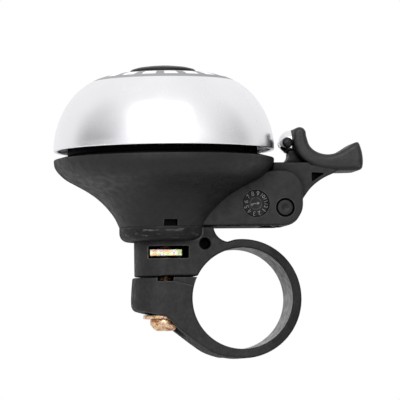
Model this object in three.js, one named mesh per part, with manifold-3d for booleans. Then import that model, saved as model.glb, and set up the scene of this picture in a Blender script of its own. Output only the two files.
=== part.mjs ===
// A bicycle bell: a metal dome on a moulded base, rung by a sprung thumb lever, on a strap clamp.
// Millimetres, +Z up. The origin is the centre of the handlebar bore, at the middle of the clamp's
// width. +X points from the bell's axis towards the lever, and +Y runs along the handlebar.

import * as THREE from "three";
import { mergeVertices } from "three/addons/utils/BufferGeometryUtils.js";
import Module from "manifold-3d";

const wasm = await Module();
wasm.setup();

// ---------------------------------------------------------------- driving dimensions

const GAP = 0.1; // clearance between two pieces that rest on each other
const SLACK = 0.15; // radial clearance of a shaft in its hole

// Handlebar clamp
const BORE_R = 12.1; // the closed strap, between the usual 22.2 and 25.4 mm bars
const STRAP_R = 14.3;
const STRAP_DROP = 0.1; // the strap's outside is this much lower than its bore, so it is thicker below
const CLAMP_HALF = 7.5; // half the clamp's width along the bar
const SPLIT_Z = 5.35; // middle of the gap between the two jaws
const SPLIT_GAP = 0.3;
const HINGE_GAP = 0.3; // the strap's cut where the flexing lower half begins
const WEB_FILLET = { x: -2.9, z: 17.5, r: 3.95 }; // hollow corner between the neck and the strap

// Clamp screw, its nut and washer
const SCREW_X = -18;
const SCREW_R = 2.45;
const SCREW_HEAD_R = 3.55;
const SCREW_HEAD_H = 2.9;
const SCREW_TIP_Z = 13.6;
const WASHER_R = 5.2;
const WASHER_H = 0.9;
const SEAT_Z = -3.7; // flat under the lower jaw that the washer bears on
const NUT_SIDE = 8.2;
const NUT_H = 2;
const NUT_Z = 10.2;
const NUT_SLOT = { x0: -22.5, x1: -12.9, y1: 4.5, z0: 9.7, z1: 12.7 };

// Base
const BELL_X = -17.7; // axis of the dome
const COLLAR_R = 11;
const COLLAR_BOTTOM = 13.9;
const COLLAR_TOP = 17.3;
const SPIGOT_R = 8.4;
const SPIGOT_TOP = 19.4;
const BASE_BOTTOM = COLLAR_TOP + GAP;
const FLOOR_TOP = 21.3;
const RIM_R = 26.6;
const RIM_Z = 33.8;
const LIP_RISE = 0.9; // the lip slopes up from the rim to the foot of the standing wall
const RING_R = 23.2; // wall that stands inside the dome
const RING_WALL = 1.6;
const RING_TOP = 37.6;
const RING_GAP = { from: -42, to: 5 }; // degrees from +X between which the wall is left out
const POST_R = 4.6;
const POST_BORE_R = 3;
const POST_TOP = 50.6;
const KEY = { half: 1.65, h: 1.5, depth: 0.6 }; // stops the base from turning on the collar

// Cheeks that hold the lever
const CHEEK_OUT = 7.5;
const CHEEK_IN = 5.4;
const CHEEK_RIGHT = 15;
const CHEEK_TOP = 30.65;
const POCKET_X = 5.5; // the lever's pocket starts here
const PIN = { x: 10.6, z: 21.7, r: 1.4, headR: 1.85, headH: 0.6 };
const PIN_COUNTERBORE_R = 2.3;

// Dome
const DOME_R = 26.6;
const DOME_RIM_Z = 35.8;
const DOME_WALL = 0.9;
const DOME_SEAT_R = 7;
const DOME_SEAT_Z = 52.6; // outside of the recessed flat under the cap
const CAP_R = 8;
const CAP_EDGE_Z = 55.1;
const CAP_TOP = 56.4;

// Lever and hammer
const LEVER_HALF = 5.2;
const PAD_HALF = 5.5;
const HUB_R = 4.3;
const STEM_HALF = 2.4;
const SHELF_Z = 32.75;
const HAMMER = { x: 13.3, z: 37.8, r: 3 };
const SPRING = { coilR: 2.35, wireR: 0.35, half: 1.75, turns: 4 };

const ROUND = 48; // sides of the large turned pieces
const SMALL_ROUND = 20;

// ---------------------------------------------------------------- helpers

/** A manifold solid from a closed three.js geometry. */
function solid(geometry) {
  const bare = geometry.clone();
  bare.deleteAttribute("normal");
  bare.deleteAttribute("uv");
  const merged = mergeVertices(bare);
  return new wasm.Manifold(
    new wasm.Mesh({
      numProp: 3,
      vertProperties: new Float32Array(merged.attributes.position.array),
      triVerts: new Uint32Array(merged.index.array),
    }),
  );
}

/** Revolves a profile of [radius, height] points, drawn anticlockwise, about an upright axis. */
function lathe(points, x = 0, segments = ROUND) {
  const profile = points.map(([r, h]) => new THREE.Vector2(r, h));
  const turned = new THREE.LatheGeometry(profile, segments);
  return solid(turned.rotateX(Math.PI / 2).translate(x, 0, 0));
}

/** An upright cylinder between two heights. */
function rod(r, z0, z1, x, segments = SMALL_ROUND) {
  return lathe([[0, z0], [r, z0], [r, z1], [0, z1]], x, segments);
}

/** An upright ring between two heights. */
function ring(inner, outer, z0, z1, x, segments = SMALL_ROUND) {
  return lathe([[inner, z0], [outer, z0], [outer, z1], [inner, z1], [inner, z0]], x, segments);
}

/** A cylinder along Y between two planes, at the lever's pin. */
function crossRod(r, y0, y1, x = PIN.x, z = PIN.z) {
  const bar = new THREE.CylinderGeometry(r, r, y1 - y0, SMALL_ROUND);
  return solid(bar.translate(x, (y0 + y1) / 2, z));
}

/** Extrudes an X-Z outline along Y between two planes. */
function plate(outline, y0, y1, curveSegments = 10) {
  const depth = y1 - y0;
  const sheet = new THREE.ExtrudeGeometry(outline, { depth, bevelEnabled: false, curveSegments });
  return solid(sheet.rotateX(Math.PI / 2).translate(0, y1, 0));
}

/** Extrudes an X-Y outline upwards between two heights. */
function slab(outline, z0, z1, curveSegments = 10) {
  const depth = z1 - z0;
  const sheet = new THREE.ExtrudeGeometry(outline, { depth, bevelEnabled: false, curveSegments });
  return solid(sheet.translate(0, 0, z0));
}

function block(x0, x1, y0, y1, z0, z1) {
  const box = new THREE.BoxGeometry(x1 - x0, y1 - y0, z1 - z0);
  return solid(box.translate((x0 + x1) / 2, (y0 + y1) / 2, (z0 + z1) / 2));
}

/** Plan outline of a clamp jaw: a half-round left end, then straight sides past the strap. */
function jawPlan(endX) {
  const outline = new THREE.Shape();
  outline.absarc(endX, 0, CLAMP_HALF, Math.PI / 2, 1.5 * Math.PI, false);
  outline.lineTo(STRAP_R + 1, -CLAMP_HALF);
  outline.lineTo(STRAP_R + 1, CLAMP_HALF);
  outline.closePath();
  return outline;
}

/** A smooth curve through points, as evenly spaced outline points. */
function smooth(points, steps) {
  const curve = new THREE.SplineCurve(points.map(([x, z]) => new THREE.Vector2(x, z)));
  return curve.getPoints(steps);
}

/** A named mesh of the assembly. */
function piece(name, body, colour, roughness, metalness) {
  const { vertProperties, triVerts } = body.getMesh();
  const geometry = new THREE.BufferGeometry();
  geometry.setAttribute("position", new THREE.BufferAttribute(vertProperties, 3));
  geometry.setIndex(new THREE.BufferAttribute(triVerts, 1));
  geometry.computeVertexNormals();
  const mesh = new THREE.Mesh(
    geometry,
    new THREE.MeshStandardMaterial({ color: colour, roughness, metalness }),
  );
  mesh.name = name;
  return mesh;
}

const blackPlastic = (name, body) => piece(name, body, 0x26262a, 0.5, 0);
const chrome = (name, body) => piece(name, body, 0xd9dadd, 0.12, 1);
const yellowZinc = (name, body) => piece(name, body, 0xd8b070, 0.35, 1);
const steel = (name, body) => piece(name, body, 0x9a9ca0, 0.35, 1);
const rubber = (name, body) => piece(name, body, 0x1b1b1c, 0.85, 0);

// ---------------------------------------------------------------- clamp

/** Outline of the upper jaw, the neck and the strap's upper half. */
function clampBodyOutline() {
  const lip = SPLIT_Z + SPLIT_GAP / 2;
  const endZ = HINGE_GAP / 2;
  const { x, z, r } = WEB_FILLET;
  const outline = new THREE.Shape();
  outline.moveTo(BELL_X - CLAMP_HALF - 1, COLLAR_TOP);
  outline.lineTo(BELL_X - CLAMP_HALF - 1, lip);
  outline.absarc(0, 0, BORE_R, Math.PI - Math.asin(lip / BORE_R), Math.asin(endZ / BORE_R), true);
  const start = Math.asin((endZ + STRAP_DROP) / STRAP_R);
  outline.absarc(0, -STRAP_DROP, STRAP_R, start, Math.PI / 2 + 0.13, false);
  outline.absarc(x, z, r, -Math.PI / 2, -Math.PI, true);
  outline.lineTo(x - r, COLLAR_TOP);
  outline.closePath();
  return outline;
}

function clampBody() {
  const edge = 2; // radius of the collar's lower edge
  const collar = [[0, COLLAR_BOTTOM], [COLLAR_R - edge, COLLAR_BOTTOM]];
  for (let i = 1; i <= 5; i += 1) {
    const a = (i / 5) * (Math.PI / 2);
    collar.push([COLLAR_R - edge + edge * Math.sin(a), COLLAR_BOTTOM + edge * (1 - Math.cos(a))]);
  }
  collar.push([COLLAR_R, COLLAR_TOP], [SPIGOT_R, COLLAR_TOP], [SPIGOT_R, SPIGOT_TOP], [0, SPIGOT_TOP]);
  const keyY = -COLLAR_R + KEY.depth;
  const { x0, x1, y1, z0, z1 } = NUT_SLOT;
  return plate(clampBodyOutline(), -CLAMP_HALF, CLAMP_HALF, 14)
    .intersect(slab(jawPlan(BELL_X), 0, COLLAR_TOP))
    .add(lathe(collar, BELL_X))
    .add(block(BELL_X - KEY.half + GAP, BELL_X + KEY.half - GAP, keyY, -SPIGOT_R + 1,
      COLLAR_TOP - 1, COLLAR_TOP + KEY.h))
    .subtract(block(x0, x1, -CLAMP_HALF - 1, y1, z0, z1))
    .subtract(rod(SCREW_R + 0.3, 0, SCREW_TIP_Z + 0.3, SCREW_X))
    .subtract(rod(1.35, COLLAR_TOP - 2.7, SPIGOT_TOP + 1, BELL_X))
    .subtract(crossRod(1.35, -CLAMP_HALF - 1, -CLAMP_HALF + 4, -9, 13.2));
}

/** Outline of the lower jaw and the strap's lower half. */
function clampJawOutline() {
  const lip = SPLIT_Z - SPLIT_GAP / 2;
  const endZ = HINGE_GAP / 2;
  const outline = new THREE.Shape();
  outline.moveTo(-25.4, lip);
  outline.lineTo(-26.1, -0.6);
  outline.quadraticCurveTo(-26.3, -2.6, -24.4, -3.1);
  outline.lineTo(-20.4, -3.7);
  const belly = [[-18.7, -4], [-17, -5.5], [-15.7, -7], [-13.4, -8.8], [-10.8, -10.8], [-7.9, -12.75], [-4.6, -14]];
  smooth(belly, 18).forEach((p) => outline.lineTo(p.x, p.y));
  const join = -Math.PI / 2 - 0.2;
  const end = -Math.asin((endZ - STRAP_DROP) / STRAP_R);
  outline.absarc(0, -STRAP_DROP, STRAP_R, join, end, false);
  outline.absarc(0, 0, BORE_R, -Math.asin(endZ / BORE_R), Math.PI - Math.asin(lip / BORE_R), true);
  outline.closePath();
  return outline;
}

function clampJaw() {
  const slotHalf = 3.3; // the screw hole is long in X, so that the jaw can swing past the screw
  const hole = new THREE.Shape();
  const run = slotHalf - SCREW_R - 0.35;
  hole.absarc(SCREW_X - run, 0, SCREW_R + 0.35, Math.PI / 2, 1.5 * Math.PI, false);
  hole.absarc(SCREW_X + run, 0, SCREW_R + 0.35, -Math.PI / 2, Math.PI / 2, false);
  hole.closePath();
  return plate(clampJawOutline(), -CLAMP_HALF, CLAMP_HALF, 14)
    .intersect(slab(jawPlan(-26.1 + CLAMP_HALF), -STRAP_R - 1, SPLIT_Z))
    .subtract(slab(hole, -STRAP_R, SPLIT_Z + 1))
    .subtract(rod(WASHER_R + 0.4, -STRAP_R, SEAT_Z, SCREW_X, 32))
    .subtract(block(-20.6, -16.6, -CLAMP_HALF - 1, 0, SPLIT_Z - 1.1, SPLIT_Z + 1));
}

function clampNut() {
  const half = NUT_SIDE / 2;
  const edge = 0.25;
  const outline = new THREE.Shape();
  outline.moveTo(SCREW_X - half + edge, NUT_Z);
  outline.lineTo(SCREW_X + half - edge, NUT_Z);
  outline.lineTo(SCREW_X + half, NUT_Z + edge);
  outline.lineTo(SCREW_X + half, NUT_Z + NUT_H - edge);
  outline.lineTo(SCREW_X + half - edge, NUT_Z + NUT_H);
  outline.lineTo(SCREW_X - half + edge, NUT_Z + NUT_H);
  outline.lineTo(SCREW_X - half, NUT_Z + NUT_H - edge);
  outline.lineTo(SCREW_X - half, NUT_Z + edge);
  outline.closePath();
  return plate(outline, -half, half).subtract(rod(SCREW_R + SLACK, 0, 20, SCREW_X));
}

function clampWasher() {
  return ring(SCREW_R + 0.3, WASHER_R, SEAT_Z - GAP / 2 - WASHER_H, SEAT_Z - GAP / 2, SCREW_X, 32);
}

/** A pan-head machine screw with a cross-shaped recess, pointing up. */
function clampScrew() {
  const top = SEAT_Z - GAP - WASHER_H;
  const bottom = top - SCREW_HEAD_H;
  const r = SCREW_HEAD_R;
  const profile = [
    [0, bottom], [r * 0.55, bottom + 0.1], [r * 0.85, bottom + 0.6], [r, bottom + 1.4], [r, top - 0.2],
    [r - 0.2, top], [SCREW_R, top], [SCREW_R, SCREW_TIP_Z - 0.6], [SCREW_R - 0.6, SCREW_TIP_Z],
    [0, SCREW_TIP_Z],
  ];
  const arm = 2;
  const half = 0.45;
  const deep = bottom + 1.4;
  return lathe(profile, SCREW_X, 32)
    .subtract(block(SCREW_X - arm, SCREW_X + arm, -half, half, bottom - 1, deep))
    .subtract(block(SCREW_X - half, SCREW_X + half, -arm, arm, bottom - 1, deep));
}

// ---------------------------------------------------------------- base

/** The flared shell, its standing wall and its post, as one solid of revolution. */
function baseShell() {
  const flare = [
    [11, BASE_BOTTOM], [12.2, 19.9], [14.2, 22.5], [16.4, 24.6], [18.8, 26.3], [21.8, 28], [23.8, 29.1],
    [25.6, 30.9], [RIM_R, 32.6], [RIM_R, RIM_Z], [RING_R, RIM_Z + LIP_RISE],
    [RING_R, RING_TOP],
  ];
  const inside = RING_R - RING_WALL;
  const hollow = [[inside, RING_TOP], [inside, 29.8], [17.5, 27.3], [14.4, 24.6], [11, FLOOR_TOP]];
  const post = [[POST_R, FLOOR_TOP], [POST_R, POST_TOP], [POST_BORE_R, POST_TOP], [POST_BORE_R, FLOOR_TOP]];
  const foot = [[1.6, FLOOR_TOP], [1.6, SPIGOT_TOP + GAP], [SPIGOT_R + GAP, SPIGOT_TOP + GAP],
    [SPIGOT_R + GAP, BASE_BOTTOM]];
  return lathe([...flare, ...hollow, ...post, ...foot, flare[0]], BELL_X);
}

/** Side outline of the two cheeks. */
function cheekOutline() {
  const low = 5.2; // corner radii
  const high = 4.5;
  const outline = new THREE.Shape();
  outline.moveTo(BELL_X + 2, CHEEK_TOP);
  outline.lineTo(BELL_X + 2, BASE_BOTTOM);
  outline.absarc(CHEEK_RIGHT - low, BASE_BOTTOM + low, low, -Math.PI / 2, 0, false);
  outline.absarc(CHEEK_RIGHT - high, CHEEK_TOP - high, high, 0, Math.PI / 2, false);
  outline.closePath();
  return outline;
}

/** The sector of the standing wall that is left out, as a plan outline. */
function wallGap() {
  const reach = RING_R + 1;
  const bottom = RIM_Z + LIP_RISE;
  const outline = new THREE.Shape();
  outline.moveTo(BELL_X, 0);
  outline.lineTo(BELL_X + reach, reach * Math.tan(THREE.MathUtils.degToRad(RING_GAP.from)));
  outline.lineTo(BELL_X + reach, reach * Math.tan(THREE.MathUtils.degToRad(RING_GAP.to)));
  outline.closePath();
  return slab(outline, bottom, RING_TOP + 1).subtract(rod(POST_R + 1, bottom, RING_TOP + 2, BELL_X));
}

function baseBody() {
  const inner = lathe(
    [[0, FLOOR_TOP], [11, FLOOR_TOP], [14.4, 24.6], [17.5, 27.3], [RING_R - RING_WALL, 29.8],
      [RING_R - RING_WALL, CHEEK_TOP + 1], [0, CHEEK_TOP + 1]],
    BELL_X,
  );
  const socket = rod(SPIGOT_R + GAP, 0, SPIGOT_TOP + GAP, BELL_X, ROUND);
  const cheeks = plate(cheekOutline(), -CHEEK_OUT, CHEEK_OUT, 6).subtract(inner).subtract(socket);
  const far = CHEEK_RIGHT + 1;
  return baseShell()
    .add(cheeks)
    .subtract(block(POCKET_X, far, -CHEEK_IN, CHEEK_IN, BASE_BOTTOM - 1, RING_TOP))
    .subtract(wallGap())
    .subtract(crossRod(PIN.r + SLACK, -CHEEK_OUT - 1, CHEEK_OUT + 1))
    .subtract(crossRod(PIN_COUNTERBORE_R, -CHEEK_OUT - 1, -CHEEK_OUT + PIN.headH + GAP))
    .subtract(crossRod(2.9, CHEEK_OUT - 0.8, CHEEK_OUT + 1))
    .subtract(block(BELL_X - KEY.half, BELL_X + KEY.half, -COLLAR_R - 2, -SPIGOT_R + 1,
      BASE_BOTTOM - 1, COLLAR_TOP + KEY.h + GAP));
}

/** A washer-head screw that goes down through the base's floor into the clamp's spigot. */
function baseScrew() {
  const seat = FLOOR_TOP + 0.05 + 0.6 + 0.05;
  return lathe(
    [[0, COLLAR_TOP - 2.4], [1.2, COLLAR_TOP - 1.4], [1.2, seat], [2.6, seat], [2.6, seat + 1],
      [1.6, seat + 1.8], [0, seat + 1.8]],
    BELL_X, SMALL_ROUND,
  ).subtract(block(BELL_X - 1.6, BELL_X + 1.6, -0.35, 0.35, seat + 0.8, seat + 3));
}

const baseWasher = () => ring(1.4, 2.8, FLOOR_TOP + 0.05, FLOOR_TOP + 0.65, BELL_X);

// ---------------------------------------------------------------- dome and its fixing

/** Outside of the dome from the rim to the edge of its recessed top. */
function domeCurve() {
  return [
    [DOME_R, DOME_RIM_Z], [DOME_R, 37.2], [26.3, 39.8], [25.5, 42.9], [23.7, 46.3], [21.6, 49.25],
    [19.4, 51.4], [17.25, 52.8], [14.6, 53.75], [11.6, 54.4], [8.6, 54.8],
  ];
}

function dome() {
  const w = DOME_WALL;
  const outside = [...domeCurve(), [DOME_SEAT_R + 0.4, 54.6], [DOME_SEAT_R, DOME_SEAT_Z], [2.2, DOME_SEAT_Z]];
  const inside = [
    [2.2, DOME_SEAT_Z - w], [DOME_SEAT_R + w, DOME_SEAT_Z - w], [DOME_SEAT_R + w + 0.3, 53.6], [11.4, 53.5],
    [14.3, 52.85], [16.8, 51.95], [18.8, 50.7], [20.9, 48.7], [22.9, 45.9], [24.6, 42.6], [25.4, 39.6],
    [DOME_R - w, 37.2], [DOME_R - w, DOME_RIM_Z], [DOME_R, DOME_RIM_Z],
  ];
  return lathe([...outside, ...inside], BELL_X);
}

/** Rubber cushion between the post and the dome. */
const domeSeat = () => ring(1.8, 5.5, POST_TOP + GAP / 2, DOME_SEAT_Z - DOME_WALL - GAP / 2, BELL_X, 32);

const domeGasket = () => ring(1.8, 5.6, DOME_SEAT_Z + 0.05, DOME_SEAT_Z + 0.75, BELL_X, 32);

const domeWasher = () => ring(1.75, 4.6, DOME_SEAT_Z + 0.8, DOME_SEAT_Z + 1.4, BELL_X, 32);

function domeScrew() {
  const seat = DOME_SEAT_Z + 1.45;
  return lathe(
    [[0, 44], [1, 44], [1.45, 44.5], [1.45, seat], [2.8, seat], [2.8, seat + 0.6], [2.2, seat + 1.2],
      [0, seat + 1.3]],
    BELL_X, SMALL_ROUND,
  )
    .subtract(block(BELL_X - 1.5, BELL_X + 1.5, -0.3, 0.3, seat + 0.5, seat + 3))
    .subtract(block(BELL_X - 0.3, BELL_X + 0.3, -1.5, 1.5, seat + 0.5, seat + 3));
}

/** Threaded brass sleeve in the top of the post. */
const postInsert = () => ring(1.55, POST_BORE_R - 0.05, 43.4, POST_TOP - 0.1, BELL_X);

/** Low mushroom cap that clips over the gasket and hides the screw. */
function domeCap() {
  const skirtZ = DOME_SEAT_Z + 0.1;
  return lathe(
    [[0, 55.5], [5, 55.4], [5.85, 54.6], [5.85, skirtZ], [6.7, skirtZ], [6.7, 54.6], [7.7, 54.92],
      [CAP_R, CAP_EDGE_Z], [7.6, 55.5], [6, 55.95], [3.5, 56.28], [0, CAP_TOP]],
    BELL_X, 40,
  );
}

// ---------------------------------------------------------------- lever, hammer, pin and spring

/** Side outline of the thumb pad: an upright back, a saddle and an upturned end. */
function padOutline() {
  const back = [
    [13.3, 39.75], [13.35, 37], [14.1, 35], [15.5, 33.3], [17.4, 31.9], [19.8, 31], [23.3, 30.6], [26.8, 30.6],
    [29.4, 30.75],
  ];
  const end = [[30.1, 31.3], [30.3, 32.4], [30.3, 33.8], [30.05, 35.3], [29.45, 37.1], [28.95, 37.65]];
  const saddle = [
    [28.3, 37.5], [27.2, 36.9], [25.6, 35.85], [23.6, 34.95], [21.2, 34.7], [18.8, 35.4], [17.2, 36.9],
    [16.4, 39.2],
  ];
  const outline = new THREE.Shape();
  const edge = [...smooth(back, 18), ...smooth(end, 8), ...smooth(saddle, 18)];
  outline.moveTo(edge[0].x, edge[0].y);
  edge.slice(1).forEach((p) => outline.lineTo(p.x, p.y));
  outline.absarc(14.85, 39.75, 1.55, 0, Math.PI, false);
  outline.closePath();
  return outline;
}

/** Side outline of the hub, its shelf and the curved web that braces the pad. */
function hubOutline() {
  const shelfLeft = 8;
  const web = [[24, 30.9], [21.8, 29.6], [19.8, 28.4], [18.2, 27.3], [17.2, 26.1], [15.7, 23.8]];
  const outline = new THREE.Shape();
  outline.absarc(PIN.x, PIN.z, HUB_R, Math.PI, 2 * Math.PI, false);
  smooth(web, 12).reverse().forEach((p) => outline.lineTo(p.x, p.y));
  outline.lineTo(17.5, 32.2);
  outline.lineTo(16.8, SHELF_Z);
  outline.lineTo(shelfLeft, SHELF_Z);
  outline.closePath();
  return outline;
}

/** Side outline of the narrow stem that joins the pad's back to the shelf. */
function stemOutline() {
  const stemX = 12.1;
  const fillet = 1;
  const outline = new THREE.Shape();
  outline.moveTo(17, SHELF_Z - 1);
  outline.lineTo(16.8, 32.8);
  outline.lineTo(14.2, 36);
  outline.lineTo(13.9, 37.4);
  outline.lineTo(stemX + 0.6, 37);
  outline.lineTo(stemX, 36.2);
  outline.absarc(stemX - fillet, SHELF_Z + fillet, fillet, 0, -Math.PI / 2, true);
  outline.lineTo(stemX - fillet, SHELF_Z - 1);
  outline.closePath();
  return outline;
}

/** The recess beside the web, cut from one side of the lever. */
function sidePocket() {
  const outline = new THREE.Shape();
  outline.moveTo(17.5, 30.3);
  outline.lineTo(17.5, 27.9);
  outline.lineTo(19.2, 29.1);
  outline.lineTo(20.9, 30.1);
  outline.closePath();
  return outline;
}

function thumbLever() {
  const slot = 2.3; // half-width of the slot for the spring
  const { x, z } = PIN;
  const pocketDeep = 3.6;
  const ball = new THREE.SphereGeometry(HAMMER.r + 0.25, SMALL_ROUND, 16);
  ball.translate(HAMMER.x, 0, HAMMER.z);
  const recess = solid(ball).subtract(block(HAMMER.x + 0.2, 20, -5, 5, 30, 45));
  const stud = new THREE.CylinderGeometry(1.35, 1.35, 2, SMALL_ROUND).rotateZ(Math.PI / 2);
  stud.translate(HAMMER.x + 0.9, 0, HAMMER.z);
  return plate(padOutline(), -PAD_HALF, PAD_HALF, 6)
    .add(plate(hubOutline(), -LEVER_HALF, LEVER_HALF, 8))
    .add(plate(stemOutline(), -STEM_HALF, STEM_HALF, 8))
    .subtract(crossRod(PIN.r + SLACK, -LEVER_HALF - 1, LEVER_HALF + 1))
    .subtract(crossRod(3.6, -slot, slot))
    .subtract(block(x - HUB_R - 2, x, -slot, slot, z - 3.6, z + 3.6))
    .subtract(plate(sidePocket(), -LEVER_HALF - 1, -LEVER_HALF + pocketDeep))
    .subtract(plate(sidePocket(), LEVER_HALF - pocketDeep, LEVER_HALF + 1))
    .subtract(recess)
    .subtract(solid(stud));
}

/** Chrome button: a half ball that faces the dome, on a stud pressed into the lever. */
function hammer() {
  const profile = [[0, -1.6], [1.2, -1.6], [1.2, 0], [HAMMER.r, 0]];
  const steps = 8;
  for (let i = 1; i <= steps; i += 1) {
    const a = (i / steps) * (Math.PI / 2);
    profile.push([HAMMER.r * Math.cos(a), HAMMER.r * Math.sin(a)]);
  }
  const points = profile.map(([r, h]) => new THREE.Vector2(Math.abs(r) < 1e-9 ? 0 : r, h));
  const button = new THREE.LatheGeometry(points, SMALL_ROUND);
  button.rotateZ(Math.PI / 2).translate(HAMMER.x + 0.05, 0, HAMMER.z);
  return solid(button);
}

/** Headed pin through both cheeks and the lever's hub, with a groove for its clip. */
function pivotPin() {
  const front = -CHEEK_OUT + 0.05;
  const back = CHEEK_OUT - 0.1;
  return crossRod(PIN.headR, front, front + PIN.headH)
    .add(crossRod(PIN.r, front + 0.1, back))
    .subtract(crossRod(0.4, front - 1, front + 0.3))
    .subtract(crossRod(PIN.r + 1, back - 0.55, back - 0.2).subtract(crossRod(1.05, 0, CHEEK_OUT + 1)));
}

/** Push-on clip in the pin's groove, in a counterbore of the far cheek. */
function pinClip() {
  const back = CHEEK_OUT - 0.1;
  const disc = crossRod(2.6, back - 0.5, back - 0.25);
  const mouth = block(PIN.x - 0.9, PIN.x + 0.9, 0, CHEEK_OUT + 1, PIN.z - 4, PIN.z);
  return disc.subtract(crossRod(1.15, 0, CHEEK_OUT + 1)).subtract(mouth);
}

/** Torsion spring round the pin, with one leg on the base and one in the lever. */
function leverSpring() {
  const { coilR, wireR, half, turns } = SPRING;
  const points = [];
  const sides = 12;
  const total = turns * sides;
  points.push(new THREE.Vector3(PIN.x - 4.4, -half, PIN.z - coilR));
  points.push(new THREE.Vector3(PIN.x - 2.2, -half, PIN.z - coilR));
  for (let i = 0; i <= total; i += 1) {
    const a = -Math.PI / 2 + (2 * Math.PI * i) / sides;
    const y = -half + (2 * half * i) / total;
    points.push(new THREE.Vector3(PIN.x + coilR * Math.cos(a), y, PIN.z + coilR * Math.sin(a)));
  }
  points.push(new THREE.Vector3(PIN.x + 2.2, half, PIN.z - coilR + 0.2));
  const wire = new THREE.Shape();
  wire.absarc(0, 0, wireR, 0, 2 * Math.PI, false);
  const path = new THREE.CatmullRomCurve3(points);
  const steps = total + 10;
  return solid(new THREE.ExtrudeGeometry(wire, { steps, extrudePath: path, curveSegments: 4 }));
}

// ---------------------------------------------------------------- assembly

const clamp = new THREE.Group();
clamp.add(
  blackPlastic("clamp_body", clampBody()),
  blackPlastic("clamp_jaw", clampJaw()),
  yellowZinc("clamp_nut", clampNut()),
  yellowZinc("clamp_washer", clampWasher()),
  yellowZinc("clamp_screw", clampScrew()),
);

const base = new THREE.Group();
base.add(
  blackPlastic("base_body", baseBody()),
  steel("base_screw", baseScrew()),
  steel("base_washer", baseWasher()),
  piece("post_insert", postInsert(), 0xc9a24f, 0.3, 1),
);

const bell = new THREE.Group();
bell.add(
  chrome("dome", dome()),
  rubber("dome_seat", domeSeat()),
  rubber("dome_gasket", domeGasket()),
  steel("dome_washer", domeWasher()),
  steel("dome_screw", domeScrew()),
  piece("dome_cap", domeCap(), 0x151517, 0.3, 0),
);

const striker = new THREE.Group();
striker.add(
  blackPlastic("thumb_lever", thumbLever()),
  chrome("hammer", hammer()),
  piece("pivot_pin", pivotPin(), 0x1f1f21, 0.45, 0),
  steel("pin_clip", pinClip()),
  steel("lever_spring", leverSpring()),
);

const bicycleBell = new THREE.Group();
bicycleBell.add(clamp, base, bell, striker);

export default bicycleBell;
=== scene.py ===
import math

import bmesh
import bpy
from mathutils import Matrix, Vector


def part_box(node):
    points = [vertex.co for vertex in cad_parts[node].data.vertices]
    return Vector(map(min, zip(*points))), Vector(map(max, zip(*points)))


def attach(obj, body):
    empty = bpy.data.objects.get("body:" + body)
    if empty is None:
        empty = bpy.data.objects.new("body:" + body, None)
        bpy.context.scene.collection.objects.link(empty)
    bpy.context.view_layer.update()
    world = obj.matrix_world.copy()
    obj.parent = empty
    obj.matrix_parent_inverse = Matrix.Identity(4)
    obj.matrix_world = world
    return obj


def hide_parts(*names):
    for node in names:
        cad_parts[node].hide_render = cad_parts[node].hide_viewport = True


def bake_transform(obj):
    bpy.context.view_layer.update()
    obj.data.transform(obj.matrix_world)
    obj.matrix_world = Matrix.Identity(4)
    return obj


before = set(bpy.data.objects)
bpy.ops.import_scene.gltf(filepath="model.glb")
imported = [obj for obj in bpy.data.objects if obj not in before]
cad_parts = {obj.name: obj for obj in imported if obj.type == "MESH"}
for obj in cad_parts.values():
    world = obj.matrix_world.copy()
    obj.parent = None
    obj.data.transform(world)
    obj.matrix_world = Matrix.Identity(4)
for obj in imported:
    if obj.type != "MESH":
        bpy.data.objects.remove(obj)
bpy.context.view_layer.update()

# A bicycle bell, drawn in millimetres and scaled to metres as each mesh is made.
# +X points from the bell's axis to the lever, +Y along the handlebar, +Z up.

MM = 0.001


def span(node):
    """Lowest and highest corner of a CAD node, in millimetres."""
    low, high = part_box(node)
    return low / MM, high / MM


# ---------- sizes from the frame

DOME_LOW, DOME_HIGH = span("dome")
BASE_LOW, BASE_HIGH = span("base_body")
CLAMP_HIGH = span("clamp_body")[1]
JAW_LOW, JAW_HIGH = span("clamp_jaw")
NUT_LOW, NUT_HIGH = span("clamp_nut")
WASHER_LOW, WASHER_HIGH = span("clamp_washer")
SCREW_LOW, SCREW_HIGH = span("clamp_screw")
PIN_LOW, PIN_HIGH = span("pivot_pin")
HAMMER_LOW, HAMMER_HIGH = span("hammer")
LEVER_HIGH = span("thumb_lever")[1]
CAP_LOW, CAP_HIGH = span("dome_cap")

BELL_X = (DOME_LOW.x + DOME_HIGH.x) / 2
DOME_R = (DOME_HIGH.x - DOME_LOW.x) / 2
RIM_Z = DOME_LOW.z
CROWN_Z = DOME_HIGH.z
CAP_R = (CAP_HIGH.x - CAP_LOW.x) / 2
BASE_Z = BASE_LOW.z
POST_TOP = BASE_HIGH.z
CHEEK_RIGHT = BASE_HIGH.x
CLAMP_HALF = JAW_HIGH.y
STRAP_R = JAW_HIGH.x
SPIGOT_TOP = CLAMP_HIGH.z
SCREW_X = (SCREW_LOW.x + SCREW_HIGH.x) / 2
SCREW_HEAD_R = (SCREW_HIGH.x - SCREW_LOW.x) / 2
WASHER_R = (WASHER_HIGH.x - WASHER_LOW.x) / 2
SEAT_Z = WASHER_HIGH.z
PIN_X = (PIN_LOW.x + PIN_HIGH.x) / 2
PIN_Z = (PIN_LOW.z + PIN_HIGH.z) / 2
PIN_HEAD_R = (PIN_HIGH.x - PIN_LOW.x) / 2
HAMMER_R = (HAMMER_HIGH.z - HAMMER_LOW.z) / 2
HAMMER_Z = (HAMMER_HIGH.z + HAMMER_LOW.z) / 2
HAMMER_X = HAMMER_LOW.x + HAMMER_R
PAD_HALF = LEVER_HIGH.y

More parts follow.
